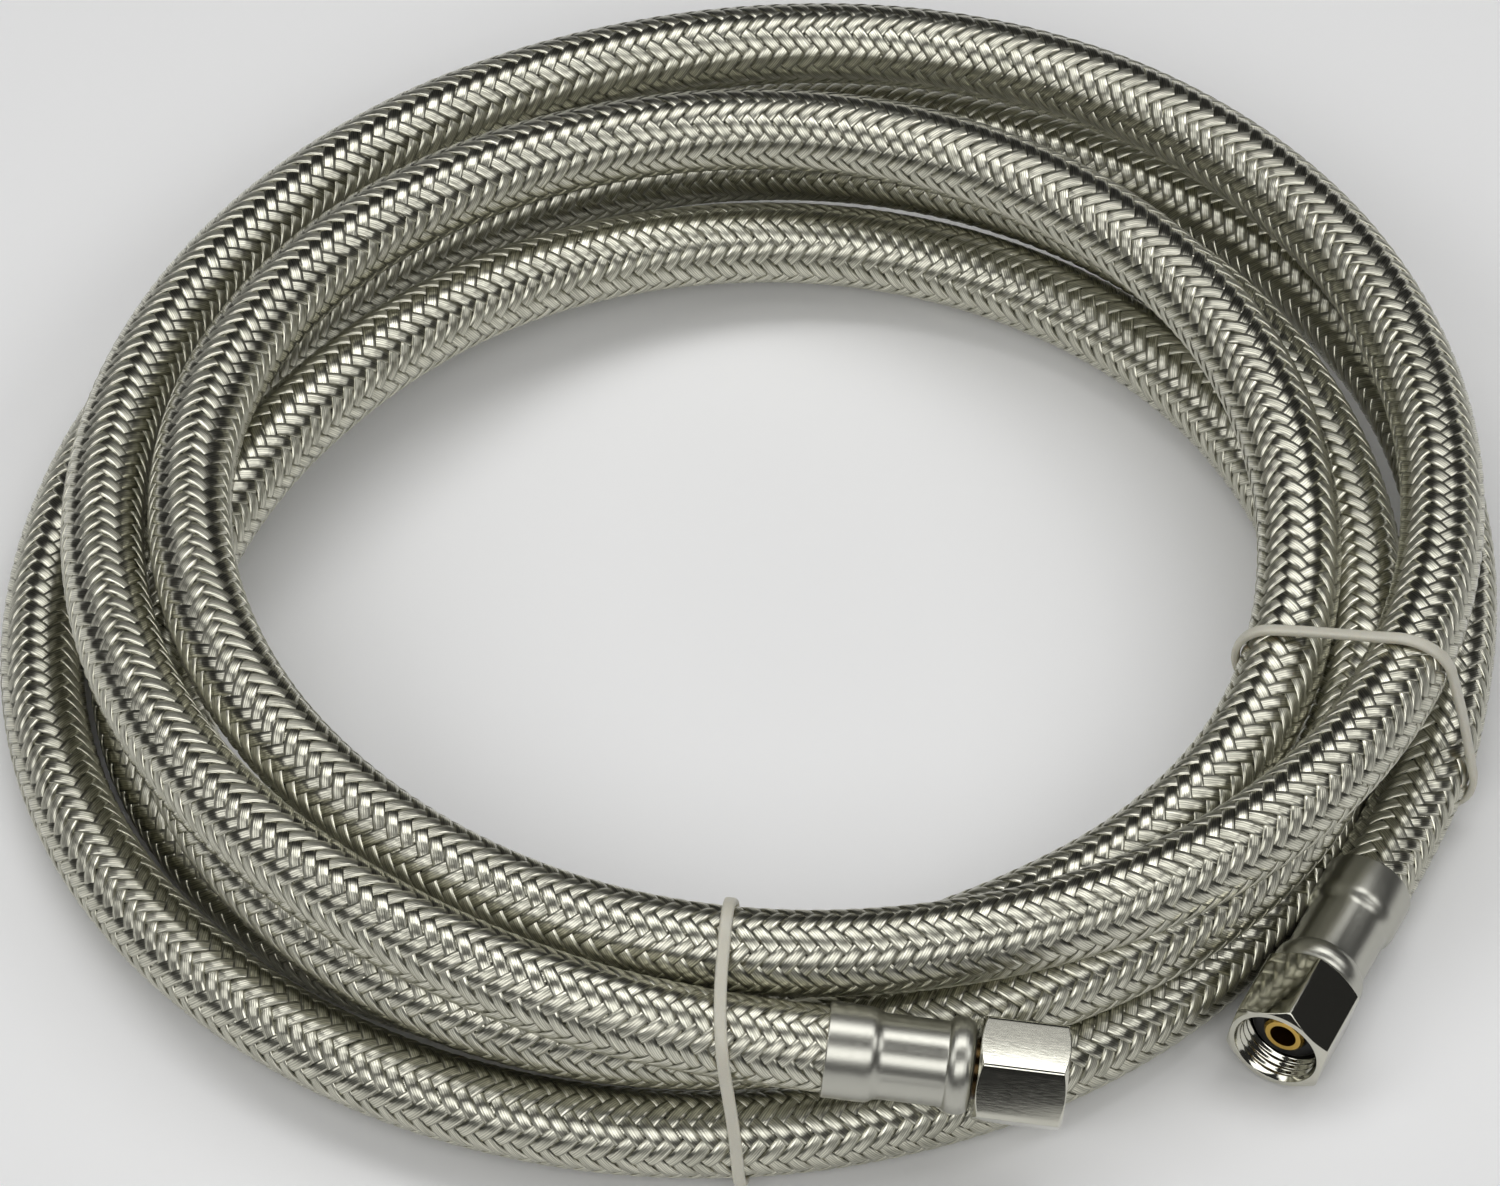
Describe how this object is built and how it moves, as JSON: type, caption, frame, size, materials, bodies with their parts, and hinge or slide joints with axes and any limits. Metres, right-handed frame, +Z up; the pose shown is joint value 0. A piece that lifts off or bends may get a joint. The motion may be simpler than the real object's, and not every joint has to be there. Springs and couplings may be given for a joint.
{
  "type": "braided supply line",
  "caption": "Flexible metal-braided water supply line laid in a loose tied coil, with a crimped ferrule and a free-turning six-sided nut at each end.",
  "frame": {"origin": "under the middle of the coil's bounding box, on the surface it rests on", "axes": "+Z up out of the coil, -Y toward the side with the front rubber band and nut A, +X toward the side with nut B"},
  "size_m": [0.1959, 0.1895, 0.035],
  "materials": {
    "braid": "braided ribbons of fine bright wire",
    "ferrule_steel": "polished, fine crimp lines on the waist",
    "nut_nickel": "nickel plated, bright with fine machining lines",
    "nipple_brass": "turned brass",
    "washer_rubber": "black, matt",
    "liner": "pale flexible polymer",
    "rubber_band": "off-white, slightly translucent"
  },
  "bodies": {
    "line": {"hose_coil": "braid", "rubber_band_front": "rubber_band", "rubber_band_right": "rubber_band", "crimp_ferrule_a": "ferrule_steel", "nipple_a": "nipple_brass", "sealing_washer_a": "washer_rubber", "inner_tube_a": "liner", "braid_end_a": "braid", "hose_end_a": "braid", "crimp_ferrule_b": "ferrule_steel", "nipple_b": "nipple_brass", "sealing_washer_b": "washer_rubber", "inner_tube_b": "liner", "braid_end_b": "braid", "hose_end_b": "braid"},
    "nut_a": {"coupling_nut_a": "nut_nickel"},
    "nut_b": {"coupling_nut_b": "nut_nickel"}
  },
  "joints": [
    {"name": "nut_spin_a", "type": "hinge", "parent": "line", "child": "nut_a", "pos_m": [0.03361, -0.08703, 0.01936], "axis": [0.9924, -0.0868, -0.0872], "continuous": true},
    {"name": "nut_spin_b", "type": "hinge", "parent": "line", "child": "nut_b", "pos_m": [0.06847, -0.06978, 0.00767], "axis": [-0.4298, -0.9012, 0.0558], "continuous": true}
  ]
}
